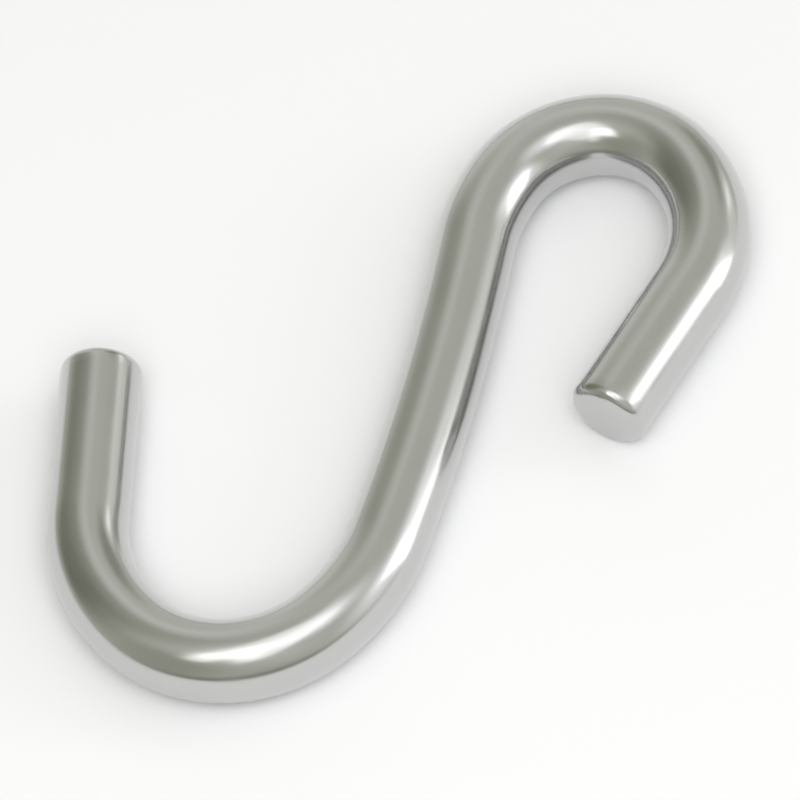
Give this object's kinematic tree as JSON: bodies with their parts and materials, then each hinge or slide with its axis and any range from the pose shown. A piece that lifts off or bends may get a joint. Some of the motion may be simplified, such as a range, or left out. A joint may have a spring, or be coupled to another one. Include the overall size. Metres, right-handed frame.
{
  "type": "s hook",
  "caption": "Open S hook bent from one round steel bar, with a larger hook at one end and a smaller, tighter hook at the other.",
  "frame": {"origin": "below the middle of the hook's box, on the surface it lies on; the bar's centreline is flat at z = 3 mm", "axes": "+Y is the load line, from the centre of the larger hook's crown to the centre of the smaller hook's crown; +Z is normal to the plane of the S; +X completes the frame, and seen from +Z the bar reads as a letter S"},
  "size_m": [0.0364, 0.0604, 0.006],
  "materials": {
    "polished_steel": "polished"
  },
  "bodies": {
    "root": {"s_hook": "polished_steel"}
  },
  "joints": []
}
